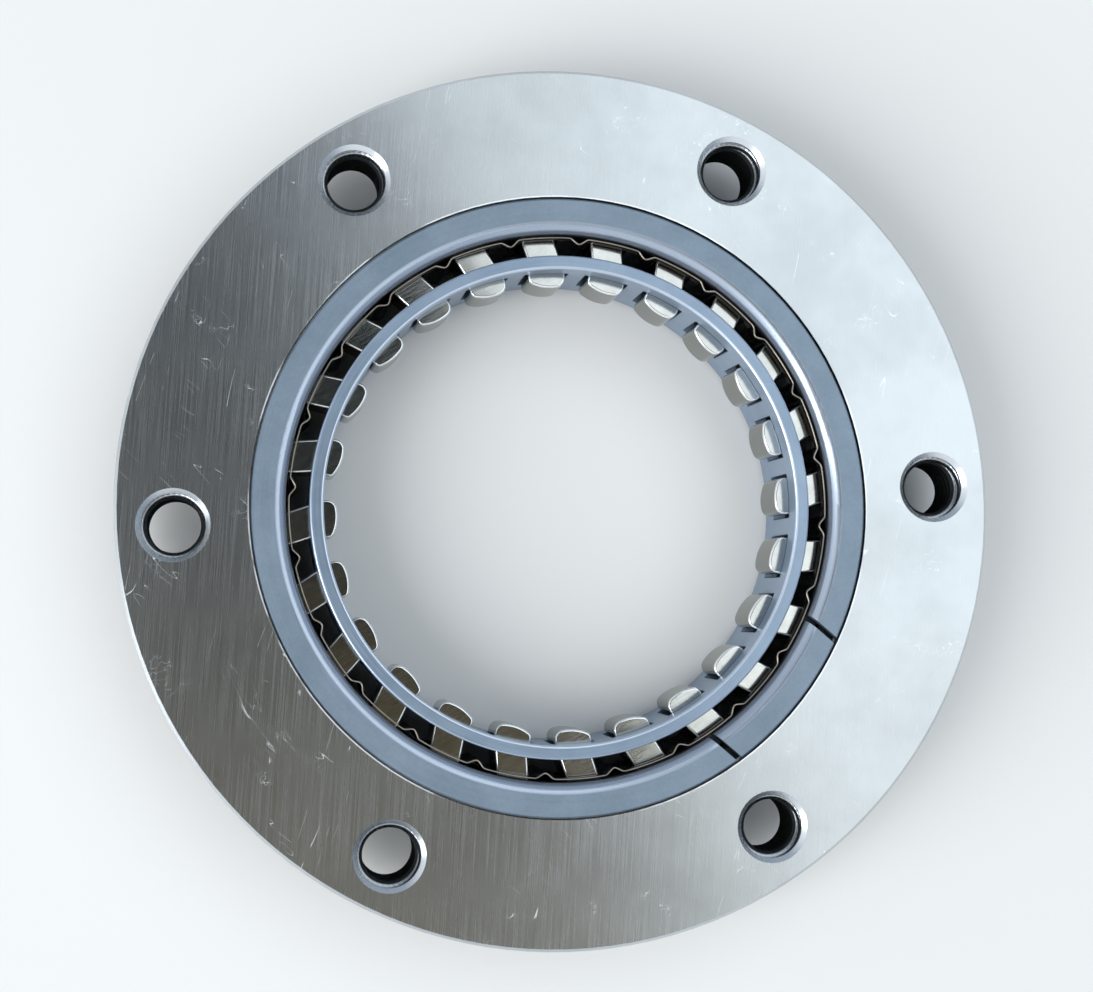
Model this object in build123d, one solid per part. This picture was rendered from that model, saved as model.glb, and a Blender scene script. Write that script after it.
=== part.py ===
from build123d import *
from math import asin, atan2, cos, degrees, hypot, radians, sin, sqrt
import os

# One-way clutch bearing: a bolted outer race holding 24 sprags between two cages.
# Millimetres, +Z up. The clutch axis is the Z axis, the front face is on top.
# Bolt holes lie at 0, 60, 120 ... degrees and a sprag lies at every 15 degrees.

os.makedirs("parts", exist_ok=True)

# Bearing geometry
hub_diameter = 57.76
sprag_space = 8.33
sprag_count = 24
race_edge = 0.5

# Sprags
sprag_length = 7.6
free_inset = 0.28
inner_cam_radius = 5.6
inner_cam_offset = 0.5
head_half_width = 2.4
heel_round = 1.2
toe_round = 0.8
pivot_inset = 0.16
pivot_lead = 1.0
cam_gap = 0.15

# Cages
cage_sheet = 1.8
race_gap = 0.25
hub_gap = 1.55
bend_radius = 1.5
cage_edge = 0.2
window_side_gap = 0.45
window_end_gap = 0.2
outer_window_gap = 0.35
shoulder_depth = 0.8

# Outer race
counterbore_width = 2.49
flange_gap = 0.22
bolt_land = 9.3
edge_land = 7.15
bolt_size = 8.0
bolt_count = 6
hole_chamfer = 0.6
spigot_wall = 0.4
flange_thickness = 11.0
spigot_height = 5.0
flange_recess = 0.1
seat_play = 0.05
cage_end_gap = 0.6
inner_cage_drop = 0.5
rim_chamfer = 0.4

# Ribbon spring
ribbon_sheet = 0.2
ribbon_gap = 0.3
kink_gap = 1.12
kink_half_width = 1.0
kink_angle = 8.0
ribbon_rail = 1.9
ribbon_window_gap = 0.5
ribbon_window_shift = 0.3

# Drag tongue
tongue_half_width = 9.5
slit_width = 0.8
slit_extra = 1.0
tongue_angle = -43.7

# Radii that follow from the sizes above
hub_radius = hub_diameter / 2
race_radius = hub_radius + sprag_space
cage_outer = race_radius - race_gap
cage_inner = cage_outer - cage_sheet
inner_cage_inner = hub_radius + hub_gap
inner_cage_outer = inner_cage_inner + cage_sheet
counterbore_radius = race_radius + counterbore_width
cage_flange_radius = counterbore_radius - flange_gap
bolt_radius = counterbore_radius + bolt_land
ring_radius = bolt_radius + edge_land
hole_radius = bolt_size / 2
spigot_radius = bolt_radius - hole_radius - hole_chamfer - spigot_wall
tip_radius = hub_radius - free_inset
pivot_radius = cage_inner - pivot_inset
outer_cam_radius = race_radius - cam_gap - hypot(pivot_radius, pivot_lead)

# Heights
front_face = spigot_height + flange_thickness
cage_top = front_face - flange_recess
flange_under = cage_top - cage_sheet
seat_height = flange_under - seat_play
inner_cage_top = front_face - inner_cage_drop
cage_bottom = cage_end_gap
sprag_middle = (cage_bottom + cage_top) / 2
window_height = sprag_length + 2 * window_end_gap


def turned(points):
    return revolve(make_face(Plane.XZ * Polyline(points, close=True)), Axis.Z)


def window(radius, side, depth, width):
    return Pos(radius, side, sprag_middle) * Box(depth, width, window_height)


def save(shape, name):
    export_step(shape, "parts/" + name + ".step")


# Outer race with its bolt holes
race_points = [
    (race_radius + race_edge, 0),
    (spigot_radius - rim_chamfer, 0),
    (spigot_radius, rim_chamfer),
    (spigot_radius, spigot_height),
    (ring_radius - rim_chamfer, spigot_height),
    (ring_radius, spigot_height + rim_chamfer),
    (ring_radius, front_face - rim_chamfer),
    (ring_radius - rim_chamfer, front_face),
    (counterbore_radius, front_face),
    (counterbore_radius, seat_height),
    (race_radius + race_edge, seat_height),
    (race_radius, seat_height - race_edge),
    (race_radius, race_edge),
]
mouth_radius = hole_radius + hole_chamfer
hole_points = [
    (0, spigot_height - 1),
    (mouth_radius, spigot_height - 1),
    (mouth_radius, spigot_height),
    (hole_radius, spigot_height + hole_chamfer),
    (hole_radius, front_face - hole_chamfer),
    (mouth_radius, front_face),
    (mouth_radius, front_face + 1),
    (0, front_face + 1),
]
bolt_hole = turned(hole_points)
outer_race = turned(race_points) - PolarLocations(bolt_radius, bolt_count) * bolt_hole
save(outer_race, "outer_race")

# Outer cage: a sleeve with an outward flange, sprag windows and two flange slits
bend_centre = (cage_inner + bend_radius, cage_top - bend_radius)
cage_line = Polyline(
    (cage_inner, cage_top - bend_radius),
    (cage_inner, cage_bottom),
    (cage_outer, cage_bottom),
    (cage_outer, flange_under),
    (cage_flange_radius, flange_under),
    (cage_flange_radius, cage_top - cage_edge),
    (cage_flange_radius - cage_edge, cage_top),
    (cage_inner + bend_radius, cage_top),
)
cage_bend = CenterArc(bend_centre, bend_radius, 90, 90)
outer_cage = revolve(make_face(Plane.XZ * (cage_line + cage_bend)), Axis.Z)
outer_window = window(
    (cage_inner + cage_outer) / 2,
    pivot_lead,
    4 * cage_sheet,
    2 * (outer_cam_radius + outer_window_gap),
)
outer_cage -= PolarLocations(0, sprag_count) * outer_window
slit_depth = cage_sheet + slit_extra
slit_length = 4 * counterbore_width
slit = Box(slit_length, slit_width, 2 * slit_depth)
slit_side = tongue_half_width + slit_width / 2
slit_middle = sqrt(cage_flange_radius**2 - slit_side**2)
for side in (-slit_side, slit_side):
    outer_cage -= Rot(0, 0, tongue_angle) * Pos(slit_middle, side, cage_top) * slit
save(outer_cage, "outer_cage")

# Inner cage: a plain sleeve with one window for each sprag
inner_points = [
    (inner_cage_inner, cage_bottom),
    (inner_cage_outer, cage_bottom),
    (inner_cage_outer, inner_cage_top - cage_edge),
    (inner_cage_outer - cage_edge, inner_cage_top),
    (inner_cage_inner + cage_edge, inner_cage_top),
    (inner_cage_inner, inner_cage_top - cage_edge),
]
inner_cage = turned(inner_points)
inner_window = window(
    (inner_cage_inner + inner_cage_outer) / 2,
    0,
    2 * cage_sheet,
    2 * (head_half_width + window_side_gap),
)
inner_cage -= PolarLocations(0, sprag_count) * inner_window
save(inner_cage, "inner_cage")

# Ribbon spring: a thin band under the outer cage, kinked once between sprags
ribbon_radius = cage_inner - ribbon_gap - ribbon_sheet / 2
kink_radius = inner_cage_outer + kink_gap + ribbon_sheet / 2
kink_drop = ribbon_radius - kink_radius
flank_length = hypot(kink_half_width, kink_drop)
corner_shift = ribbon_sheet / 2 * (flank_length - kink_half_width) / kink_drop
valley_shift = ribbon_sheet / 2 * flank_length / kink_half_width
half_pitch = 180 / sprag_count


def on_circle(radius, angle):
    return (radius * cos(radians(angle)), radius * sin(radians(angle)))


def ribbon_side(sign):
    radius = ribbon_radius + sign * ribbon_sheet / 2
    half_width = kink_half_width - sign * corner_shift
    corner_angle = degrees(asin(half_width / radius))
    mean_angle = (corner_angle + half_pitch) / 2
    low_corner = on_circle(radius, -corner_angle)
    high_corner = on_circle(radius, corner_angle)
    valley = (kink_radius + sign * valley_shift, 0)
    low_arc = ThreePointArc(on_circle(radius, -half_pitch), on_circle(radius, -mean_angle), low_corner)
    high_arc = ThreePointArc(high_corner, on_circle(radius, mean_angle), on_circle(radius, half_pitch))
    return low_arc + Polyline(low_corner, valley, high_corner) + high_arc


def ribbon_end(sign):
    inside = on_circle(ribbon_radius - ribbon_sheet / 2, sign * half_pitch)
    outside = on_circle(ribbon_radius + ribbon_sheet / 2, sign * half_pitch)
    return Line(inside, outside)


ribbon_pitch = make_face(ribbon_side(1) + ribbon_end(1) + ribbon_side(-1) + ribbon_end(-1))
ribbon_height = window_height + 2 * ribbon_rail
ribbon_bottom = sprag_middle - ribbon_height / 2
ribbon_turn = Rot(0, 0, kink_angle)
ribbon_band = extrude(Pos(0, 0, ribbon_bottom) * ribbon_turn * ribbon_pitch, ribbon_height)
ribbon_window = window(
    ribbon_radius,
    pivot_lead - ribbon_window_shift,
    4 * ribbon_sheet,
    2 * (outer_cam_radius + ribbon_window_gap),
)
ribbon_bands = PolarLocations(0, sprag_count) * ribbon_band
ribbon_spring = ribbon_bands[0].fuse(*ribbon_bands[1:])
ribbon_spring -= PolarLocations(0, sprag_count) * ribbon_window
save(ribbon_spring, "ribbon_spring")

# Sprag: a round outer cam, a leaning neck and a wide head with the inner cam
cage_middle = (inner_cage_inner + inner_cage_outer) / 2
lean = atan2(pivot_lead, pivot_radius - cage_middle)
neck_height = inner_cage_inner + shoulder_depth
head_height = inner_cage_inner


def cam_height(side):
    across = side + inner_cam_offset
    return tip_radius + inner_cam_radius - sqrt(inner_cam_radius**2 - across**2)


def neck_point(sign):
    start_height = pivot_radius + sign * outer_cam_radius * -sin(lean)
    start_side = pivot_lead + sign * outer_cam_radius * cos(lean)
    fall = start_height - neck_height
    return (neck_height, start_side - fall * sin(lean) / cos(lean))


def cam_point(along, across):
    return (
        pivot_radius + along * cos(lean) - across * sin(lean),
        pivot_lead + along * sin(lean) + across * cos(lean),
    )


left_cam = cam_point(0, outer_cam_radius)
top_cam = cam_point(outer_cam_radius, 0)
right_cam = cam_point(0, -outer_cam_radius)
toe_point = (cam_height(head_half_width), head_half_width)
heel_point = (cam_height(-head_half_width), -head_half_width)
tip_point = (tip_radius, -inner_cam_offset)
sprag_line = Polyline(
    left_cam,
    neck_point(1),
    (head_height, head_half_width),
    toe_point,
)
sprag_back = Polyline(
    heel_point,
    (head_height, -head_half_width),
    neck_point(-1),
    right_cam,
)
inner_cam = ThreePointArc(toe_point, tip_point, heel_point)
outer_cam = ThreePointArc(right_cam, top_cam, left_cam)
sprag_face = make_face(sprag_line + inner_cam + sprag_back + outer_cam)
toe_corner = sprag_face.vertices().sort_by_distance(toe_point)[0]
sprag_face = fillet(toe_corner, toe_round)
heel_corner = sprag_face.vertices().sort_by_distance(heel_point)[0]
sprag_face = fillet(heel_corner, heel_round)
sprag_bottom = sprag_middle - sprag_length / 2
sprag = extrude(Pos(0, 0, sprag_bottom) * sprag_face, sprag_length)

for number in range(sprag_count):
    turn = number * 360 / sprag_count
    save(Rot(0, 0, turn) * sprag, "sprag_%02d" % (number + 1))
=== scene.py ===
import bpy
import math
from mathutils import Matrix, Vector


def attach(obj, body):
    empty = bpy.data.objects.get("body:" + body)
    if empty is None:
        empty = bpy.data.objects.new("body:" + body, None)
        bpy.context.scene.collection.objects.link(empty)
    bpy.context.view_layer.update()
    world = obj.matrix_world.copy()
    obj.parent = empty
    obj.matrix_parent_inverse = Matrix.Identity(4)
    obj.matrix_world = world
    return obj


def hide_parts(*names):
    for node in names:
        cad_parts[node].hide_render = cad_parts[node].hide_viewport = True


# One-way clutch bearing, dressed for the camera. Lengths here are millimetres
# and mm turns them into Blender's metres.

mm = 0.001
weldGap = 0.001 * mm

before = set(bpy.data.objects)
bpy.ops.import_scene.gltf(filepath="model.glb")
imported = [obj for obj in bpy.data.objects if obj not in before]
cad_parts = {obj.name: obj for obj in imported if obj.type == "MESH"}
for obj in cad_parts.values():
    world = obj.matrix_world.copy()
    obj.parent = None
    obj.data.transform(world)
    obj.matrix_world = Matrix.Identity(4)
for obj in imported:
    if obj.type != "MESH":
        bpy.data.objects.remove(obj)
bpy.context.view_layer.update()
print("Clutch: frame loaded,", len(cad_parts), "nodes")


# Small helpers for node trees

def addNode(tree, kind, **settings):
    node = tree.nodes.new(kind)
    for name, value in settings.items():
        setattr(node, name, value)
    return node


def feed(tree, source, socket):
    # a socket is linked, anything else is typed in
    if isinstance(source, bpy.types.NodeSocket):
        tree.links.new(source, socket)
    else:
        socket.default_value = source


def calc(tree, operation, first, second=0.0, third=0.0):
    node = addNode(tree, "ShaderNodeMath", operation=operation)
    feed(tree, first, node.inputs[0])
    feed(tree, second, node.inputs[1])
    feed(tree, third, node.inputs[2])
    return node.outputs[0]


def spread(tree, value, low, high, newLow=0.0, newHigh=1.0):
    # smooth step from low to high, clamped at both ends
    node = addNode(tree, "ShaderNodeMapRange", interpolation_type="SMOOTHSTEP")
    feed(tree, value, node.inputs["Value"])
    feed(tree, low, node.inputs["From Min"])
    feed(tree, high, node.inputs["From Max"])
    feed(tree, newLow, node.inputs["To Min"])
    feed(tree, newHigh, node.inputs["To Max"])
    return node.outputs["Result"]


def blendColour(tree, factor, first, second):
    # inputs 6 and 7 and output 2 of the mix node are its colours
    node = addNode(tree, "ShaderNodeMix", data_type="RGBA")
    feed(tree, factor, node.inputs["Factor"])
    feed(tree, first, node.inputs[6])
    feed(tree, second, node.inputs[7])
    return node.outputs[2]


def noise(tree, vector, scale, detail=2.0, roughness=0.5):
    node = addNode(tree, "ShaderNodeTexNoise")
    feed(tree, vector, node.inputs["Vector"])
    feed(tree, scale, node.inputs["Scale"])
    feed(tree, detail, node.inputs["Detail"])
    feed(tree, roughness, node.inputs["Roughness"])
    return node.outputs["Fac"]


def millimetres(tree):
    # object coordinates in millimetres
    place = addNode(tree, "ShaderNodeTexCoord")
    scale = addNode(tree, "ShaderNodeVectorMath", operation="SCALE")
    feed(tree, place.outputs["Object"], scale.inputs[0])
    feed(tree, 1.0 / mm, scale.inputs["Scale"])
    return scale.outputs[0]


def heightOf(tree):
    # height above the base in millimetres
    split = addNode(tree, "ShaderNodeSeparateXYZ")
    feed(tree, millimetres(tree), split.inputs[0])
    return split.outputs["Z"]


def polar(tree):
    # distance from the clutch axis, angle about it, and height
    split = addNode(tree, "ShaderNodeSeparateXYZ")
    feed(tree, millimetres(tree), split.inputs[0])
    squareX = calc(tree, "MULTIPLY", split.outputs["X"], split.outputs["X"])
    squareY = calc(tree, "MULTIPLY", split.outputs["Y"], split.outputs["Y"])
    radius = calc(tree, "SQRT", calc(tree, "ADD", squareX, squareY))
    angle = calc(tree, "ARCTAN2", split.outputs["Y"], split.outputs["X"])
    return radius, angle, split.outputs["Z"]


def newGroup(name, inputs, outputs):
    group = bpy.data.node_groups.new(name, "ShaderNodeTree")
    for label, value in inputs.items():
        socket = group.interface.new_socket(label, in_out="INPUT", socket_type="NodeSocketFloat")
        socket.default_value = value
    for label in outputs:
        group.interface.new_socket(label, in_out="OUTPUT", socket_type="NodeSocketFloat")
    start = addNode(group, "NodeGroupInput")
    end = addNode(group, "NodeGroupOutput")
    return group, start, end


def useGroup(tree, group, **values):
    node = addNode(tree, "ShaderNodeGroup", node_tree=group)
    for label, value in values.items():
        feed(tree, value, node.inputs[label])
    return node.outputs


# Shared surface effects

effects = {
    "grainDetail": 3.0,
    "grainRoughness": 0.6,
    "grainLow": 0.3,
    "grainHigh": 0.7,
    "turnedRadius": 40.0,
    "lineDetail": 1.0,
    "lineRoughness": 0.4,
    "patchScale": 0.16,
    "patchRoughness": 0.6,
    "patchEdge": 0.06,
    "arcStretch": 5.0,
    "mottleDetail": 4.0,
    "mottleRoughness": 0.65,
}


def turnedPlace(tree, angle):
    # position in millimetres, turned about the clutch axis
    turn = addNode(tree, "ShaderNodeVectorRotate", rotation_type="Z_AXIS")
    feed(tree, millimetres(tree), turn.inputs["Vector"])
    feed(tree, angle, turn.inputs["Angle"])
    return turn.outputs[0]


def drawOut(tree, place, stretch):
    # a noise read at this place comes out drawn along Y
    split = addNode(tree, "ShaderNodeSeparateXYZ")
    feed(tree, place, split.inputs[0])
    join = addNode(tree, "ShaderNodeCombineXYZ")
    feed(tree, split.outputs["X"], join.inputs["X"])
    feed(tree, calc(tree, "DIVIDE", split.outputs["Y"], stretch), join.inputs["Y"])
    feed(tree, split.outputs["Z"], join.inputs["Z"])
    return join.outputs[0]


def thinLines(tree, place, scale, width):
    # narrow lines where a noise crosses its middle value
    lines = noise(tree, place, scale, effects["lineDetail"], effects["lineRoughness"])
    offset = calc(tree, "ABSOLUTE", calc(tree, "SUBTRACT", lines, 0.5))
    return spread(tree, offset, 0.0, width, 1.0, 0.0)


def buildLayGrain():
    # straight grinding lines, Fineness per millimetre, drawn out by Stretch
    group, start, end = newGroup("layGrain", {"Angle": 0.0, "Fineness": 6.0, "Stretch": 40.0}, ["Grain"])
    place = drawOut(group, turnedPlace(group, start.outputs["Angle"]), start.outputs["Stretch"])
    grain = noise(group, place, start.outputs["Fineness"], effects["grainDetail"], effects["grainRoughness"])
    feed(group, grain, end.inputs["Grain"])
    return group


def buildTurnedGrain():
    # tool lines that run round the clutch axis
    group, start, end = newGroup("turnedGrain", {"Fineness": 5.0, "Stretch": 60.0}, ["Grain", "Radius"])
    radius, angle, height = polar(group)
    arc = calc(group, "MULTIPLY", calc(group, "ABSOLUTE", angle), effects["turnedRadius"])
    join = addNode(group, "ShaderNodeCombineXYZ")
    feed(group, radius, join.inputs["X"])
    feed(group, calc(group, "DIVIDE", arc, start.outputs["Stretch"]), join.inputs["Y"])
    feed(group, height, join.inputs["Z"])
    fineness = start.outputs["Fineness"]
    grain = noise(group, join.outputs[0], fineness, effects["grainDetail"], effects["grainRoughness"])
    feed(group, grain, end.inputs["Grain"])
    feed(group, radius, end.inputs["Radius"])
    return group


def buildScratches():
    # thin lines along one direction, kept only where a coarse noise is high
    group, start, end = newGroup("scratches", {
        "Angle": 0.3,
        "Scale": 0.5,
        "Stretch": 12.0,
        "Width": 0.006,
        "Amount": 0.5,
    }, ["Mask"])
    place = turnedPlace(group, start.outputs["Angle"])
    drawn = drawOut(group, place, start.outputs["Stretch"])
    thin = thinLines(group, drawn, start.outputs["Scale"], start.outputs["Width"])
    patch = noise(group, place, effects["patchScale"], roughness=effects["patchRoughness"])
    low = calc(group, "SUBTRACT", 1.0, start.outputs["Amount"])
    kept = spread(group, patch, low, calc(group, "ADD", low, effects["patchEdge"]))
    feed(group, calc(group, "MULTIPLY", thin, kept), end.inputs["Mask"])
    return group


def buildArcScratches():
    # long faint arcs round the clutch axis, over one stretch of the turn
    group, start, end = newGroup("arcScratches", {
        "Middle": 0.0,
        "Reach": 0.3,
        "Radius": 46.0,
        "Band": 5.0,
        "Scale": 0.8,
        "Width": 0.004,
    }, ["Mask"])
    radius, angle = polar(group)[:2]
    away = calc(group, "ABSOLUTE", calc(group, "SUBTRACT", angle, start.outputs["Middle"]))
    inTurn = spread(group, away, 0.0, start.outputs["Reach"], 1.0, 0.0)
    fromBand = calc(group, "ABSOLUTE", calc(group, "SUBTRACT", radius, start.outputs["Radius"]))
    inBand = spread(group, fromBand, 0.0, start.outputs["Band"], 1.0, 0.0)
    join = addNode(group, "ShaderNodeCombineXYZ")
    feed(group, radius, join.inputs["X"])
    feed(group, calc(group, "MULTIPLY", angle, effects["arcStretch"]), join.inputs["Y"])
    thin = thinLines(group, join.outputs[0], start.outputs["Scale"], start.outputs["Width"])
    feed(group, calc(group, "MULTIPLY", thin, calc(group, "MULTIPLY", inTurn, inBand)), end.inputs["Mask"])
    return group


def buildMottle():
    # slow changes of tone, as handling leaves on bare steel
    group, start, end = newGroup("mottle", {"Scale": 0.05, "Contrast": 0.5}, ["Tone"])
    scale = start.outputs["Scale"]
    tone = noise(group, millimetres(group), scale, effects["mottleDetail"], effects["mottleRoughness"])
    low = calc(group, "MULTIPLY", start.outputs["Contrast"], 0.5)
    feed(group, spread(group, tone, low, calc(group, "SUBTRACT", 1.0, low)), end.inputs["Tone"])
    return group


layGrain = buildLayGrain()
turnedGrain = buildTurnedGrain()
scratches = buildScratches()
arcScratches = buildArcScratches()
mottle = buildMottle()
print("Clutch: surface effects built")


def startMaterial(name):
    material = bpy.data.materials.new(name)
    material.use_nodes = True
    tree = material.node_tree
    tree.nodes.clear()
    surface = addNode(tree, "ShaderNodeBsdfPrincipled")
    output = addNode(tree, "ShaderNodeOutputMaterial")
    feed(tree, surface.outputs[0], output.inputs["Surface"])
    return material, tree, surface


def shadeOf(tree, grain, tone, look):
    # where a metal is light or dark, from its grain and its mottle
    fromTone = calc(tree, "MULTIPLY", tone, look["mottleShare"])
    return calc(tree, "MULTIPLY_ADD", grain, look["grainShare"], fromTone)


def roughOf(tree, grain, look):
    # the middle range of the grain runs between a metal's two roughnesses
    low = effects["grainLow"]
    high = effects["grainHigh"]
    return spread(tree, grain, low, high, look["roughnessLow"], look["roughnessHigh"])


def addBump(tree, surface, relief, look):
    bump = addNode(tree, "ShaderNodeBump")
    feed(tree, relief, bump.inputs["Height"])
    feed(tree, look["bumpStrength"], bump.inputs["Strength"])
    feed(tree, look["bumpDepth"] * mm, bump.inputs["Distance"])
    feed(tree, bump.outputs["Normal"], surface.inputs["Normal"])


# Outer race: ground front face, turned sides, painted shade in the bore and holes. In this and
# the next pieces' settings, two heights or radii are where a blend starts and ends.

ringLook = {
    "lightSteel": (0.66, 0.70, 0.73, 1.0),
    "darkSteel": (0.47, 0.49, 0.51, 1.0),
    "scratchAndRimHighlight": (0.92, 0.94, 0.96, 1.0),
    "holeAndBoreShade": (0.035, 0.042, 0.040, 1.0),
    "chamferSteel": (0.74, 0.78, 0.82, 1.0),
    "faceHeights": (15.90, 15.97),
    "layGrain": {"Angle": 0.12, "Fineness": 8.0, "Stretch": 130.0},
    "turnedGrain": {"Fineness": 5.0, "Stretch": 50.0},
    "mottle": {"Scale": 0.045, "Contrast": 0.6},
    "grainShare": 0.38,
    "mottleShare": 0.5,
    "longMarks": {"Angle": 0.35, "Scale": 0.30, "Stretch": 20.0, "Width": 0.0025, "Amount": 0.44},
    "crossMarks": {"Angle": -0.8, "Scale": 0.6, "Stretch": 5.0, "Width": 0.004, "Amount": 0.41},
    "nicks": {"Angle": 1.1, "Scale": 1.6, "Stretch": 1.8, "Width": 0.012, "Amount": 0.38},
    "arcMarks": {"Middle": -2.60, "Radius": 46.5},
    "arcStrength": 0.75,
    "rimRadii": (39.80, 39.92),
    "rimBreaks": (0.35, 0.75),
    "scratchMetallic": 0.45,
    "scratchDepth": 1.5,
    "boltCircleRadius": 49.0,
    "holeAngle": 60,
    "wallRadii": (3.85, 4.10),
    "mouthRadii": (4.55, 4.60),
    "seatRadii": (39.5, 39.6),
    "shadeHeights": (12.0, 15.5),
    "shadeAtMouth": 0.35,
    "shadedRoughness": 0.5,
    "roughnessLow": 0.22,
    "roughnessHigh": 0.28,
    "bumpStrength": 0.10,
    "bumpDepth": 0.012,
}


def buildHoleDistance():
    # distance in millimetres from the axis of the nearest bolt hole
    group, start, end = newGroup("holeDistance", {
        "Circle Radius": ringLook["boltCircleRadius"],
        "Hole Angle": math.radians(ringLook["holeAngle"]),
    }, ["Distance"])
    radius, angle = polar(group)[:2]
    steps = calc(group, "ROUND", calc(group, "DIVIDE", angle, start.outputs["Hole Angle"]))
    local = calc(group, "SUBTRACT", angle, calc(group, "MULTIPLY", steps, start.outputs["Hole Angle"]))
    along = calc(group, "MULTIPLY", radius, calc(group, "COSINE", local))
    across = calc(group, "MULTIPLY", radius, calc(group, "SINE", local))
    reach = calc(group, "SUBTRACT", along, start.outputs["Circle Radius"])
    reachSquare = calc(group, "MULTIPLY", reach, reach)
    squares = calc(group, "ADD", reachSquare, calc(group, "MULTIPLY", across, across))
    feed(group, calc(group, "SQRT", squares), end.inputs["Distance"])
    return group


holeDistance = buildHoleDistance()


def buildRingSteel():
    look = ringLook
    material, tree, surface = startMaterial("ringSteel")
    height = heightOf(tree)
    onFace = spread(tree, height, *look["faceHeights"])
    lay = useGroup(tree, layGrain, **look["layGrain"])["Grain"]
    turnedLines = useGroup(tree, turnedGrain, **look["turnedGrain"])
    turned = turnedLines["Grain"]
    radius = turnedLines["Radius"]
    grain = calc(tree, "MULTIPLY_ADD", onFace, calc(tree, "SUBTRACT", lay, turned), turned)
    tone = useGroup(tree, mottle, **look["mottle"])["Tone"]
    # scratches, nicks and arcs, and a painted highlight along the counterbore rim, broken here and there
    arcMarks = useGroup(tree, arcScratches, **look["arcMarks"])["Mask"]
    counterboreHighlight = spread(tree, radius, *look["rimRadii"], 1.0, 0.0)
    brokenRimHighlight = calc(tree, "MULTIPLY", counterboreHighlight, spread(tree, tone, *look["rimBreaks"]))
    marksAndRimHighlight = calc(tree, "MAXIMUM", brokenRimHighlight, calc(tree, "MULTIPLY", arcMarks, look["arcStrength"]))
    for kind in ("longMarks", "crossMarks", "nicks"):
        marksAndRimHighlight = calc(tree, "MAXIMUM", marksAndRimHighlight, useGroup(tree, scratches, **look[kind])["Mask"])
    marksAndRimHighlight = calc(tree, "MULTIPLY", marksAndRimHighlight, onFace)
    colour = blendColour(tree, shadeOf(tree, grain, tone, look), look["darkSteel"], look["lightSteel"])
    # the scratches and the painted rim highlight take the pale colour
    colour = blendColour(tree, marksAndRimHighlight, colour, look["scratchAndRimHighlight"])
    # the seat, the bore and the hole walls get painted shade, darkest deep in the holes; the countersinks
    # are cut bright
    fromHole = useGroup(tree, holeDistance)["Distance"]
    depth = spread(tree, height, *look["shadeHeights"], 1.0, look["shadeAtMouth"])
    inHole = calc(tree, "MULTIPLY", spread(tree, fromHole, *look["wallRadii"], 1.0, 0.0), depth)
    inBore = spread(tree, radius, *look["seatRadii"], 1.0, 0.0)
    paintedShade = calc(tree, "MAXIMUM", inHole, inBore)
    nearMouth = spread(tree, fromHole, *look["mouthRadii"], 1.0, 0.0)
    colour = blendColour(tree, nearMouth, colour, look["chamferSteel"])
    colour = blendColour(tree, paintedShade, colour, look["holeAndBoreShade"])
    feed(tree, colour, surface.inputs["Base Color"])
    feed(tree, spread(tree, marksAndRimHighlight, 0.0, 1.0, 1.0, look["scratchMetallic"]), surface.inputs["Metallic"])
    shadedRough = calc(tree, "MULTIPLY", paintedShade, look["shadedRoughness"])
    feed(tree, calc(tree, "MAXIMUM", roughOf(tree, grain, look), shadedRough), surface.inputs["Roughness"])
    relief = calc(tree, "SUBTRACT", grain, calc(tree, "MULTIPLY", marksAndRimHighlight, look["scratchDepth"]))
    addBump(tree, surface, relief, look)
    return material


# Outer cage: dull blue-grey sheet, smoother and paler at the bend, its sleeve below painted dark as shade

cageLook = {
    "flatSteel": (0.14, 0.195, 0.25, 1.0),
    "paleSteel": (0.29, 0.36, 0.44, 1.0),
    "bendSteel": (0.40, 0.46, 0.55, 1.0),
    "sleeveShade": (0.055, 0.065, 0.08, 1.0),
    "sleeveHeights": (14.0, 14.4),
    "bendRadii": (36.37, 36.62),
    "turnedGrain": {"Fineness": 4.0, "Stretch": 80.0},
    "mottle": {"Scale": 0.11, "Contrast": 0.5},
    "speckleScale": 2.5,
    "speckleRoughness": 0.7,
    "grainShare": 0.3,
    "mottleShare": 0.35,
    "speckleShare": 0.35,
    "metallic": 0.5,
    "bendMetallic": 0.70,
    "roughnessLow": 0.44,
    "roughnessHigh": 0.54,
    "bendPolish": 0.20,
    "bumpStrength": 0.25,
    "bumpDepth": 0.012,
}


def buildCageSteel():
    look = cageLook
    material, tree, surface = startMaterial("cageSteel")
    turned = useGroup(tree, turnedGrain, **look["turnedGrain"])
    grain = turned["Grain"]
    tone = useGroup(tree, mottle, **look["mottle"])["Tone"]
    aboveSleeve = spread(tree, heightOf(tree), *look["sleeveHeights"])
    nearBore = spread(tree, turned["Radius"], *look["bendRadii"], 1.0, 0.0)
    onBend = calc(tree, "MULTIPLY", aboveSleeve, nearBore)
    speckle = noise(tree, millimetres(tree), look["speckleScale"], roughness=look["speckleRoughness"])
    shade = calc(tree, "MULTIPLY_ADD", speckle, look["speckleShare"], shadeOf(tree, grain, tone, look))
    colour = blendColour(tree, shade, look["flatSteel"], look["paleSteel"])
    colour = blendColour(tree, onBend, colour, look["bendSteel"])
    # below the flange the sleeve is painted dark as shade
    colour = blendColour(tree, aboveSleeve, look["sleeveShade"], colour)
    feed(tree, colour, surface.inputs["Base Color"])
    metallic = spread(tree, onBend, 0.0, 1.0, look["metallic"], look["bendMetallic"])
    feed(tree, metallic, surface.inputs["Metallic"])
    rough = calc(tree, "MULTIPLY_ADD", onBend, -look["bendPolish"], roughOf(tree, grain, look))
    feed(tree, rough, surface.inputs["Roughness"])
    addBump(tree, surface, grain, look)
    return material


# Inner cage: paler sheet with a painted highlight along its top edges

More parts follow.
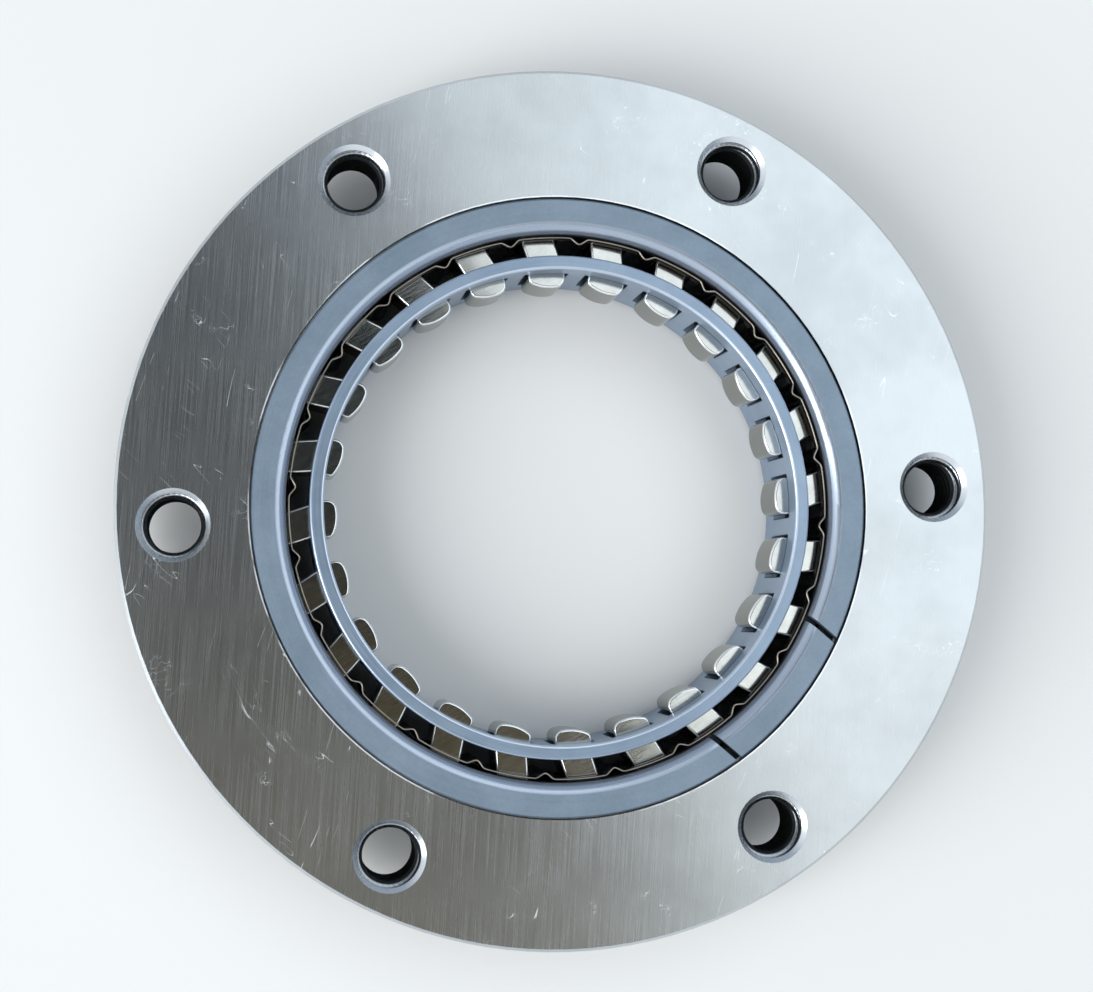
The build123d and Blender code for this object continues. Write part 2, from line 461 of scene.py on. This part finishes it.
innerLook = {
    "darkSteel": (0.21, 0.28, 0.38, 1.0),
    "paleSteel": (0.34, 0.43, 0.54, 1.0),
    "rimHighlight": (0.66, 0.74, 0.86, 1.0),
    "rimHeights": (15.2, 15.3),
    "innerRimRadii": (30.73, 30.83),
    "outerRimRadii": (32.01, 32.11),
    "turnedGrain": {"Fineness": 4.5, "Stretch": 70.0},
    "mottle": {"Scale": 0.15, "Contrast": 0.5},
    "grainShare": 0.6,
    "mottleShare": 0.4,
    "metallic": 0.6,
    "rimMetallic": 1.0,
    "roughnessLow": 0.30,
    "roughnessHigh": 0.42,
    "bumpStrength": 0.35,
    "bumpDepth": 0.012,
}


def buildInnerCageSteel():
    look = innerLook
    material, tree, surface = startMaterial("innerCageSteel")
    turned = useGroup(tree, turnedGrain, **look["turnedGrain"])
    grain = turned["Grain"]
    tone = useGroup(tree, mottle, **look["mottle"])["Tone"]
    colour = blendColour(tree, shadeOf(tree, grain, tone, look), look["darkSteel"], look["paleSteel"])
    # a painted highlight along the inner and outer edges of the top
    nearTop = spread(tree, heightOf(tree), *look["rimHeights"])
    inside = spread(tree, turned["Radius"], *look["innerRimRadii"], 1.0, 0.0)
    outside = spread(tree, turned["Radius"], *look["outerRimRadii"])
    highlightedRim = calc(tree, "MULTIPLY", nearTop, calc(tree, "MAXIMUM", inside, outside))
    colour = blendColour(tree, highlightedRim, colour, look["rimHighlight"])
    feed(tree, colour, surface.inputs["Base Color"])
    metallic = spread(tree, highlightedRim, 0.0, 1.0, look["metallic"], look["rimMetallic"])
    feed(tree, metallic, surface.inputs["Metallic"])
    feed(tree, roughOf(tree, grain, look), surface.inputs["Roughness"])
    addBump(tree, surface, grain, look)
    return material


# Ribbon spring: thin strip with straw-tinted edges and its faces painted dark as shade

springLook = {
    "straw": (0.44, 0.38, 0.30, 1.0),
    "bronze": (0.32, 0.28, 0.24, 1.0),
    "faceShade": (0.05, 0.045, 0.04, 1.0),
    "faceHeights": (14.03, 14.11),
    "turnedGrain": {"Fineness": 6.0, "Stretch": 30.0},
    "mottle": {"Scale": 0.3, "Contrast": 0.7},
    "metallic": 1.0,
    "roughnessLow": 0.26,
    "roughnessHigh": 0.38,
    "bumpStrength": 0.15,
    "bumpDepth": 0.01,
}


def buildSpringSteel():
    look = springLook
    material, tree, surface = startMaterial("springSteel")
    grain = useGroup(tree, turnedGrain, **look["turnedGrain"])["Grain"]
    tone = useGroup(tree, mottle, **look["mottle"])["Tone"]
    # all but the top edge of the strip is painted dark as shade
    onFace = spread(tree, heightOf(tree), *look["faceHeights"], 1.0, 0.0)
    colour = blendColour(tree, tone, look["straw"], look["bronze"])
    colour = blendColour(tree, onFace, colour, look["faceShade"])
    feed(tree, colour, surface.inputs["Base Color"])
    feed(tree, look["metallic"], surface.inputs["Metallic"])
    feed(tree, roughOf(tree, grain, look), surface.inputs["Roughness"])
    addBump(tree, surface, grain, look)
    return material


# Sprags: ground wedges with flanks painted dark as shade and a painted highlight round each end

spragLook = {
    "groundSteel": (0.72, 0.73, 0.72, 1.0),
    "darkSteel": (0.50, 0.51, 0.49, 1.0),
    "rimHighlight": (0.93, 0.95, 0.95, 1.0),
    "flankShade": (0.23, 0.235, 0.205, 1.0),
    "flankHeights": (11.70, 11.78),
    "endHeights": (12.02, 12.045),
    "layGrain": {"Angle": 1.1, "Fineness": 9.0, "Stretch": 20.0},
    "mottle": {"Scale": 0.25, "Contrast": 0.5},
    "grainShare": 0.4,
    "mottleShare": 0.6,
    "metallic": 1.0,
    "rimMetallic": 0.7,
    "roughnessLow": 0.10,
    "roughnessHigh": 0.17,
    "bumpStrength": 0.06,
    "bumpDepth": 0.002,
}


def buildSpragSteel():
    look = spragLook
    material, tree, surface = startMaterial("spragSteel")
    grain = useGroup(tree, layGrain, **look["layGrain"])["Grain"]
    tone = useGroup(tree, mottle, **look["mottle"])["Tone"]
    colour = blendColour(tree, shadeOf(tree, grain, tone, look), look["darkSteel"], look["groundSteel"])
    height = heightOf(tree)
    # the flanks are painted dark as shade, and a band round the top of each sprag gets a painted highlight
    shadedFlank = spread(tree, height, *look["flankHeights"], 1.0, 0.0)
    endRimHighlight = calc(tree, "SUBTRACT", spread(tree, height, *look["endHeights"], 1.0, 0.0), shadedFlank)
    colour = blendColour(tree, endRimHighlight, colour, look["rimHighlight"])
    colour = blendColour(tree, shadedFlank, colour, look["flankShade"])
    feed(tree, colour, surface.inputs["Base Color"])
    metallic = spread(tree, endRimHighlight, 0.0, 1.0, look["metallic"], look["rimMetallic"])
    feed(tree, metallic, surface.inputs["Metallic"])
    feed(tree, roughOf(tree, grain, look), surface.inputs["Roughness"])
    addBump(tree, surface, grain, look)
    return material


ringSteel = buildRingSteel()
cageSteel = buildCageSteel()
innerCageSteel = buildInnerCageSteel()
springSteel = buildSpringSteel()
spragSteel = buildSpragSteel()
print("Clutch: metals built")


# CAD nodes get their metals, small rounds on sheared edges and smooth shading

shading = {
    "raceAngle": 28,
    "cageAngle": 33,
    "spragAngle": 38,
}


def buildSoftShading():
    # joins the loose triangles and shades round stretches smooth, leaving real edges sharp
    tree = bpy.data.node_groups.new("softShading", "GeometryNodeTree")
    tree.interface.new_socket("Geometry", in_out="INPUT", socket_type="NodeSocketGeometry")
    tree.interface.new_socket("Edge Angle", in_out="INPUT", socket_type="NodeSocketFloat")
    tree.interface.new_socket("Geometry", in_out="OUTPUT", socket_type="NodeSocketGeometry")
    start = addNode(tree, "NodeGroupInput")
    end = addNode(tree, "NodeGroupOutput")
    merge = addNode(tree, "GeometryNodeMergeByDistance")
    feed(tree, start.outputs["Geometry"], merge.inputs["Geometry"])
    feed(tree, weldGap, merge.inputs["Distance"])
    angle = addNode(tree, "GeometryNodeInputMeshEdgeAngle")
    sharp = addNode(tree, "FunctionNodeCompare", data_type="FLOAT", operation="LESS_THAN")
    feed(tree, angle.outputs["Unsigned Angle"], sharp.inputs[0])
    feed(tree, start.outputs["Edge Angle"], sharp.inputs[1])
    faces = addNode(tree, "GeometryNodeSetShadeSmooth", domain="FACE")
    feed(tree, merge.outputs[0], faces.inputs["Geometry"])
    feed(tree, True, faces.inputs["Shade Smooth"])
    edges = addNode(tree, "GeometryNodeSetShadeSmooth", domain="EDGE")
    feed(tree, faces.outputs[0], edges.inputs["Geometry"])
    feed(tree, sharp.outputs[0], edges.inputs["Shade Smooth"])
    feed(tree, edges.outputs[0], end.inputs["Geometry"])
    return tree


softShading = buildSoftShading()


def dressNode(name, material, edgeAngle):
    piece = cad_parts[name]
    piece.data.materials.clear()
    piece.data.materials.append(material)
    modifier = piece.modifiers.new("softShading", "NODES")
    modifier.node_group = softShading
    for item in softShading.interface.items_tree:
        if item.name == "Edge Angle":
            modifier[item.identifier] = math.radians(edgeAngle)
    flat = piece.modifiers.new("flatFaces", "WEIGHTED_NORMAL")
    flat.keep_sharp = True


edgeRounds = {
    "sprag": 0.27,
    "cage": 0.12,
    "steps": 3,
    "panelAngle": 0.4,
    "leastAngle": 40,
}


def roundEdges(name, width):
    # triangles join to flat panels, whose edges are then broken to a small round
    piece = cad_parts[name]
    weld = piece.modifiers.new("weld", "WELD")
    weld.merge_threshold = weldGap
    panels = piece.modifiers.new("panels", "DECIMATE")
    panels.decimate_type = "DISSOLVE"
    panels.angle_limit = math.radians(edgeRounds["panelAngle"])
    bevel = piece.modifiers.new("edges", "BEVEL")
    bevel.width = width * mm
    bevel.segments = edgeRounds["steps"]
    bevel.limit_method = "ANGLE"
    bevel.angle_limit = math.radians(edgeRounds["leastAngle"])


dressNode("outer_race", ringSteel, shading["raceAngle"])
roundEdges("outer_cage", edgeRounds["cage"])
dressNode("outer_cage", cageSteel, shading["cageAngle"])
roundEdges("inner_cage", edgeRounds["cage"])
dressNode("inner_cage", innerCageSteel, shading["cageAngle"])
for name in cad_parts:
    if name.startswith("sprag"):
        roundEdges(name, edgeRounds["sprag"])
        dressNode(name, spragSteel, shading["spragAngle"])
print("Clutch: race, cages and sprags dressed")


# Thread crests in the six bolt holes

threadCut = {
    "wallRadius": 3.95,
    "ridge": 0.6,
    "pitch": 1.25,
    "low": 5.9,
    "high": 15.05,
    "runOut": 0.8,
    "runOutDepth": 0.17,
    "stepsPerTurn": 36,
    "profileCorners": 3,
    "boltCount": 6,
}


def buildThreads():
    tree = bpy.data.node_groups.new("boltThreads", "GeometryNodeTree")
    tree.interface.new_socket("Geometry", in_out="OUTPUT", socket_type="NodeSocketGeometry")
    for label in ("Bolt Circle Radius", "Wall Radius", "Ridge", "Pitch",
                  "Low", "High", "Run Out", "Run Out Depth"):
        tree.interface.new_socket(label, in_out="INPUT", socket_type="NodeSocketFloat")
    tree.interface.new_socket("Bolt Count", in_out="INPUT", socket_type="NodeSocketInt")
    tree.interface.new_socket("Material", in_out="INPUT", socket_type="NodeSocketMaterial")
    start = addNode(tree, "NodeGroupInput")
    end = addNode(tree, "NodeGroupOutput")
    length = calc(tree, "SUBTRACT", start.outputs["High"], start.outputs["Low"])
    helix = addNode(tree, "GeometryNodeCurveSpiral")
    feed(tree, threadCut["stepsPerTurn"], helix.inputs["Resolution"])
    feed(tree, calc(tree, "DIVIDE", length, start.outputs["Pitch"]), helix.inputs["Rotations"])
    feed(tree, start.outputs["Wall Radius"], helix.inputs["Start Radius"])
    feed(tree, start.outputs["Wall Radius"], helix.inputs["End Radius"])
    feed(tree, length, helix.inputs["Height"])
    # near both ends the ridge sinks into the wall
    place = addNode(tree, "GeometryNodeInputPosition")
    split = addNode(tree, "ShaderNodeSeparateXYZ")
    feed(tree, place.outputs[0], split.inputs[0])
    fromTop = calc(tree, "SUBTRACT", length, split.outputs["Z"])
    fromEnd = calc(tree, "MINIMUM", split.outputs["Z"], fromTop)
    sink = spread(tree, fromEnd, 0.0, start.outputs["Run Out"], start.outputs["Run Out Depth"], 0.0)
    widen = calc(tree, "ADD", sink, 1.0)
    join = addNode(tree, "ShaderNodeCombineXYZ")
    feed(tree, calc(tree, "MULTIPLY", split.outputs["X"], widen), join.inputs["X"])
    feed(tree, calc(tree, "MULTIPLY", split.outputs["Y"], widen), join.inputs["Y"])
    feed(tree, split.outputs["Z"], join.inputs["Z"])
    taper = addNode(tree, "GeometryNodeSetPosition")
    feed(tree, helix.outputs[0], taper.inputs["Geometry"])
    feed(tree, join.outputs[0], taper.inputs["Position"])
    upright = addNode(tree, "GeometryNodeSetCurveNormal", mode="Z_UP")
    feed(tree, taper.outputs[0], upright.inputs["Curve"])
    ridge = addNode(tree, "GeometryNodeCurvePrimitiveCircle", mode="RADIUS")
    feed(tree, threadCut["profileCorners"], ridge.inputs["Resolution"])
    feed(tree, start.outputs["Ridge"], ridge.inputs["Radius"])
    sweep = addNode(tree, "GeometryNodeCurveToMesh")
    feed(tree, upright.outputs[0], sweep.inputs["Curve"])
    feed(tree, ridge.outputs[0], sweep.inputs["Profile Curve"])
    feed(tree, True, sweep.inputs["Fill Caps"])
    holes = addNode(tree, "GeometryNodeMeshCircle")
    feed(tree, start.outputs["Bolt Count"], holes.inputs["Vertices"])
    feed(tree, start.outputs["Bolt Circle Radius"], holes.inputs["Radius"])
    lift = addNode(tree, "GeometryNodeTransform")
    feed(tree, holes.outputs[0], lift.inputs["Geometry"])
    height = addNode(tree, "ShaderNodeCombineXYZ")
    feed(tree, start.outputs["Low"], height.inputs["Z"])
    feed(tree, height.outputs[0], lift.inputs["Translation"])
    copies = addNode(tree, "GeometryNodeInstanceOnPoints")
    feed(tree, lift.outputs[0], copies.inputs["Points"])
    feed(tree, sweep.outputs[0], copies.inputs["Instance"])
    real = addNode(tree, "GeometryNodeRealizeInstances")
    feed(tree, copies.outputs[0], real.inputs[0])
    paint = addNode(tree, "GeometryNodeSetMaterial")
    feed(tree, real.outputs[0], paint.inputs["Geometry"])
    feed(tree, start.outputs["Material"], paint.inputs["Material"])
    feed(tree, paint.outputs[0], end.inputs["Geometry"])
    return tree


def growPiece(name, tree, values):
    # runs a geometry tree on an empty mesh and keeps the result as a plain mesh
    carrier = bpy.data.objects.new(name + "Carrier", bpy.data.meshes.new(name + "Carrier"))
    bpy.context.scene.collection.objects.link(carrier)
    modifier = carrier.modifiers.new(name, "NODES")
    modifier.node_group = tree
    for item in tree.interface.items_tree:
        if item.in_out == "INPUT" and item.name in values:
            modifier[item.identifier] = values[item.name]
    graph = bpy.context.evaluated_depsgraph_get()
    mesh = bpy.data.meshes.new_from_object(carrier.evaluated_get(graph), depsgraph=graph)
    carrier.modifiers.remove(modifier)
    bpy.data.objects.remove(carrier)
    mesh.name = name
    piece = bpy.data.objects.new(name, mesh)
    bpy.context.scene.collection.objects.link(piece)
    return piece


threads = growPiece("boltThreads", buildThreads(), {
    "Bolt Circle Radius": ringLook["boltCircleRadius"] * mm,
    "Bolt Count": threadCut["boltCount"],
    "Wall Radius": threadCut["wallRadius"] * mm,
    "Ridge": threadCut["ridge"] * mm,
    "Pitch": threadCut["pitch"] * mm,
    "Low": threadCut["low"] * mm,
    "High": threadCut["high"] * mm,
    "Run Out": threadCut["runOut"] * mm,
    "Run Out Depth": threadCut["runOutDepth"],
    "Material": ringSteel,
})
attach(threads, "race")
print("Clutch: bolt threads cut,", len(threads.data.polygons), "faces")


# Ribbon spring: one strip with a rounded kink between each two sprags

ribbonStrip = {
    "radius": 34.76,
    "sheet": 0.2,
    "kinkDrop": 1.05,
    "kinkAngle": 8.0,
    "kinkHalfWidth": 1.15,
    "kinkRound": 0.30,
    "shoulderRound": 0.30,
    "pitchCount": 24,
    "stepsPerPitch": 75,
    "windowAngle": 1.146,
    "windowHalfAngle": 4.2,
    "windowHalfHeight": 4.0,
    "halfHeight": 5.9,
    "middle": 8.25,
}


def buildRibbon():
    tree = bpy.data.node_groups.new("ribbonStrip", "GeometryNodeTree")
    tree.interface.new_socket("Geometry", in_out="OUTPUT", socket_type="NodeSocketGeometry")
    for label in ("Radius", "Kink Drop", "Kink Angle", "Kink Half Width", "Kink Round", "Shoulder Round",
                  "Window Angle", "Window Half Angle", "Window Half Height", "Half Height", "Middle"):
        tree.interface.new_socket(label, in_out="INPUT", socket_type="NodeSocketFloat")
    tree.interface.new_socket("Pitch Count", in_out="INPUT", socket_type="NodeSocketInt")
    tree.interface.new_socket("Steps Per Pitch", in_out="INPUT", socket_type="NodeSocketInt")
    tree.interface.new_socket("Material", in_out="INPUT", socket_type="NodeSocketMaterial")
    start = addNode(tree, "NodeGroupInput")
    end = addNode(tree, "NodeGroupOutput")
    # a flat grid of one turn by three rows: rail, windows, rail
    turn = math.tau
    rows = 3
    stripLength = calc(tree, "MULTIPLY", start.outputs["Pitch Count"], start.outputs["Steps Per Pitch"])
    grid = addNode(tree, "GeometryNodeMeshGrid")
    feed(tree, turn, grid.inputs["Size X"])
    feed(tree, rows, grid.inputs["Size Y"])
    feed(tree, calc(tree, "ADD", stripLength, 1.0), grid.inputs["Vertices X"])
    feed(tree, rows + 1, grid.inputs["Vertices Y"])
    place = addNode(tree, "GeometryNodeInputPosition")
    split = addNode(tree, "ShaderNodeSeparateXYZ")
    feed(tree, place.outputs[0], split.inputs[0])
    angle = split.outputs["X"]
    row = split.outputs["Y"]
    pitchAngle = calc(tree, "DIVIDE", turn, start.outputs["Pitch Count"])
    # kink: a V with a round point and soft shoulders
    fromKink = calc(tree, "SUBTRACT", angle, start.outputs["Kink Angle"])
    cell = calc(tree, "ROUND", calc(tree, "DIVIDE", fromKink, pitchAngle))
    local = calc(tree, "SUBTRACT", fromKink, calc(tree, "MULTIPLY", cell, pitchAngle))
    arc = calc(tree, "MULTIPLY", local, start.outputs["Radius"])
    side = calc(tree, "DIVIDE", arc, start.outputs["Kink Half Width"])
    squares = calc(tree, "MULTIPLY_ADD", side, side, calc(tree, "POWER", start.outputs["Kink Round"], 2.0))
    valley = calc(tree, "SUBTRACT", 1.0, calc(tree, "SQRT", squares))
    valley = calc(tree, "SMOOTH_MAX", valley, 0.0, start.outputs["Shoulder Round"])
    drop = calc(tree, "MULTIPLY", valley, start.outputs["Kink Drop"])
    radius = calc(tree, "SUBTRACT", start.outputs["Radius"], drop)
    # rows: the outer two lie at the rails, the inner two at the window ends
    outerRow = calc(tree, "GREATER_THAN", calc(tree, "ABSOLUTE", row), 1.0)
    extra = calc(tree, "SUBTRACT", start.outputs["Half Height"], start.outputs["Window Half Height"])
    reach = calc(tree, "MULTIPLY_ADD", outerRow, extra, start.outputs["Window Half Height"])
    height = calc(tree, "MULTIPLY_ADD", calc(tree, "SIGN", row), reach, start.outputs["Middle"])
    # windows: faces of the middle row beside each sprag
    fromWindow = calc(tree, "SUBTRACT", angle, start.outputs["Window Angle"])
    windowCell = calc(tree, "ROUND", calc(tree, "DIVIDE", fromWindow, pitchAngle))
    offset = calc(tree, "SUBTRACT", fromWindow, calc(tree, "MULTIPLY", windowCell, pitchAngle))
    inWindow = calc(tree, "LESS_THAN", calc(tree, "ABSOLUTE", offset), start.outputs["Window Half Angle"])
    middleRow = calc(tree, "LESS_THAN", calc(tree, "ABSOLUTE", row), 0.5)
    cut = addNode(tree, "GeometryNodeDeleteGeometry", domain="FACE")
    feed(tree, grid.outputs[0], cut.inputs["Geometry"])
    feed(tree, calc(tree, "MULTIPLY", inWindow, middleRow), cut.inputs["Selection"])
    wrap = addNode(tree, "GeometryNodeSetPosition")
    join = addNode(tree, "ShaderNodeCombineXYZ")
    feed(tree, calc(tree, "MULTIPLY", radius, calc(tree, "COSINE", angle)), join.inputs["X"])
    feed(tree, calc(tree, "MULTIPLY", radius, calc(tree, "SINE", angle)), join.inputs["Y"])
    feed(tree, height, join.inputs["Z"])
    feed(tree, cut.outputs[0], wrap.inputs["Geometry"])
    feed(tree, join.outputs[0], wrap.inputs["Position"])
    merge = addNode(tree, "GeometryNodeMergeByDistance")
    feed(tree, wrap.outputs[0], merge.inputs["Geometry"])
    feed(tree, weldGap, merge.inputs["Distance"])
    smooth = addNode(tree, "GeometryNodeSetShadeSmooth")
    feed(tree, merge.outputs[0], smooth.inputs["Geometry"])
    real = addNode(tree, "GeometryNodeRealizeInstances")
    feed(tree, smooth.outputs[0], real.inputs[0])
    paint = addNode(tree, "GeometryNodeSetMaterial")
    feed(tree, real.outputs[0], paint.inputs["Geometry"])
    feed(tree, start.outputs["Material"], paint.inputs["Material"])
    feed(tree, paint.outputs[0], end.inputs["Geometry"])
    return tree


ribbon = growPiece("ribbonStrip", buildRibbon(), {
    "Radius": ribbonStrip["radius"] * mm,
    "Kink Drop": ribbonStrip["kinkDrop"] * mm,
    "Kink Angle": math.radians(ribbonStrip["kinkAngle"]),
    "Kink Half Width": ribbonStrip["kinkHalfWidth"] * mm,
    "Kink Round": ribbonStrip["kinkRound"],
    "Shoulder Round": ribbonStrip["shoulderRound"],
    "Window Angle": math.radians(ribbonStrip["windowAngle"]),
    "Window Half Angle": math.radians(ribbonStrip["windowHalfAngle"]),
    "Window Half Height": ribbonStrip["windowHalfHeight"] * mm,
    "Half Height": ribbonStrip["halfHeight"] * mm,
    "Middle": ribbonStrip["middle"] * mm,
    "Pitch Count": ribbonStrip["pitchCount"],
    "Steps Per Pitch": ribbonStrip["stepsPerPitch"],
    "Material": springSteel,
})
wall = ribbon.modifiers.new("sheet", "SOLIDIFY")
wall.thickness = ribbonStrip["sheet"] * mm
wall.offset = 0.0
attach(ribbon, "cage")
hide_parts("ribbon_spring")
print("Clutch: ribbon spring bent,", len(ribbon.data.polygons), "faces")


# Floor, light and camera

studio = {
    "floorHalf": 4.0,
    "floorColour": (0.80, 0.79, 0.77, 1.0),
    "floorRoughness": 0.85,
    "floorNear": 0.25,
    "floorFar": 0.80,
    "backdrop": (0.81, 0.86, 0.89, 1.0),
    "windowSide": (0.90, 0.94, 0.98, 1.0),
    "farSide": (0.36, 0.42, 0.50, 1.0),
    "windowDirection": (-0.80, -0.60, 0.0),
    "farEnd": -0.35,
    "windowEnd": 0.60,
    "overhead": (0.018, 0.021, 0.022, 1.0),
    "warmOverhead": (0.21, 0.165, 0.085, 1.0),
    "warmEnd": -0.30,
    "coolEnd": 0.10,
    "horizonHeight": 0.80,
    "overheadHeight": 1.0,
}


def buildFloor():
    mesh = bpy.data.meshes.new("studioFloor")
    half = studio["floorHalf"]
    corners = [(-half, -half, 0), (half, -half, 0), (half, half, 0), (-half, half, 0)]
    mesh.from_pydata(corners, [], [(0, 1, 2, 3)])
    floor = bpy.data.objects.new("studioFloor", mesh)
    bpy.context.scene.collection.objects.link(floor)
    material, tree, surface = startMaterial("paleFloor")
    feed(tree, studio["floorColour"], surface.inputs["Base Color"])
    feed(tree, studio["floorRoughness"], surface.inputs["Roughness"])
    # away from the piece the camera sees the backdrop's own tone
    place = addNode(tree, "ShaderNodeTexCoord")
    away = addNode(tree, "ShaderNodeVectorMath", operation="LENGTH")
    feed(tree, place.outputs["Object"], away.inputs[0])
    far = spread(tree, away.outputs["Value"], studio["floorNear"], studio["floorFar"])
    seen = addNode(tree, "ShaderNodeLightPath")
    backdrop = addNode(tree, "ShaderNodeEmission")
    feed(tree, studio["backdrop"], backdrop.inputs["Color"])
    shown = addNode(tree, "ShaderNodeMixShader")
    feed(tree, calc(tree, "MULTIPLY", far, seen.outputs["Is Camera Ray"]), shown.inputs[0])
    feed(tree, surface.outputs[0], shown.inputs[1])
    feed(tree, backdrop.outputs[0], shown.inputs[2])
    feed(tree, shown.outputs[0], tree.get_output_node("ALL").inputs["Surface"])
    mesh.materials.append(material)


def buildWorld():
    # pale walls on the window side under a dark ceiling, warmer towards one end, all
    # mirrored by the bare steel, while the camera sees an even backdrop
    world = bpy.data.worlds.new("studioWorld")
    world.use_nodes = True
    tree = world.node_tree
    place = addNode(tree, "ShaderNodeTexCoord")
    split = addNode(tree, "ShaderNodeSeparateXYZ")
    feed(tree, place.outputs["Generated"], split.inputs[0])
    towards = addNode(tree, "ShaderNodeVectorMath", operation="DOT_PRODUCT")
    feed(tree, place.outputs["Generated"], towards.inputs[0])
    feed(tree, studio["windowDirection"], towards.inputs[1])
    side = spread(tree, towards.outputs["Value"], studio["farEnd"], studio["windowEnd"])
    walls = blendColour(tree, side, studio["farSide"], studio["windowSide"])
    ceiling = spread(tree, split.outputs["Z"], studio["horizonHeight"], studio["overheadHeight"])
    warm = spread(tree, split.outputs["Y"], studio["warmEnd"], studio["coolEnd"])
    overhead = blendColour(tree, warm, studio["warmOverhead"], studio["overhead"])
    colour = blendColour(tree, ceiling, walls, overhead)
    seen = addNode(tree, "ShaderNodeLightPath")
    colour = blendColour(tree, seen.outputs["Is Camera Ray"], colour, studio["backdrop"])
    feed(tree, colour, tree.nodes["Background"].inputs["Color"])
    bpy.context.scene.world = world


# Places and sizes in metres, roll in degrees, and glow is the brightness of the
# lamp's face, where 1 is white
lamps = {
    "ceilingLamp": {
        "place": (0.375, 0.14, 0.60),
        "aim": (0.375, 0.14, 0.0),
        "roll": 20,
        "width": 0.60,
        "height": 0.95,
        "glow": 1.35,
        "colour": (0.92, 0.98, 1.0),
    },
    "windowLamp": {
        "place": (-0.630, -0.229, 0.436),
        "aim": (0.0, 0.0, 0.0),
        "roll": 0,
        "width": 0.38,
        "height": 0.85,
        "glow": 5.0,
        "colour": (0.95, 0.98, 1.0),
    },
}


def addLamp(name, values):
    light = bpy.data.lights.new(name, "AREA")
    light.shape = "RECTANGLE"
    light.size = values["width"]
    light.size_y = values["height"]
    light.energy = values["glow"] * values["width"] * values["height"] * math.pi
    light.color = values["colour"]
    lamp = bpy.data.objects.new(name, light)
    place = Vector(values["place"])
    lamp.location = place
    facing = (Vector(values["aim"]) - place).to_track_quat("-Z", "Y").to_matrix()
    roll = Matrix.Rotation(math.radians(values["roll"]), 3, "Z")
    lamp.rotation_euler = (facing @ roll).to_euler()
    lamp.visible_camera = False
    bpy.context.scene.collection.objects.link(lamp)


buildFloor()
buildWorld()
for name, values in lamps.items():
    addLamp(name, values)

# The camera stands where the photograph was taken from
cameraPlace = Vector((-37.94, -11.06, 252.66)) * mm
cameraAim = Vector((-2.28, 1.32, 16.0)) * mm
cameraUp = Vector((0.0487, 0.9970, 0.0595))
cameraLens = 62.15
cameraSensor = 36.0
cameraNear = 0.01
cameraFar = 10.0


def addCamera():
    data = bpy.data.cameras.new("camera")
    data.lens = cameraLens
    data.sensor_width = cameraSensor
    data.sensor_fit = "HORIZONTAL"
    data.clip_start = cameraNear
    data.clip_end = cameraFar
    camera = bpy.data.objects.new("camera", data)
    back = (cameraPlace - cameraAim).normalized()
    right = cameraUp.cross(back).normalized()
    up = back.cross(right)
    camera.matrix_world = Matrix((
        (right.x, up.x, back.x, cameraPlace.x),
        (right.y, up.y, back.y, cameraPlace.y),
        (right.z, up.z, back.z, cameraPlace.z),
        (0.0, 0.0, 0.0, 1.0),
    ))
    bpy.context.scene.collection.objects.link(camera)
    bpy.context.scene.camera = camera


addCamera()
bpy.context.scene.view_settings.view_transform = "Standard"
print("Clutch: floor, light and camera set")
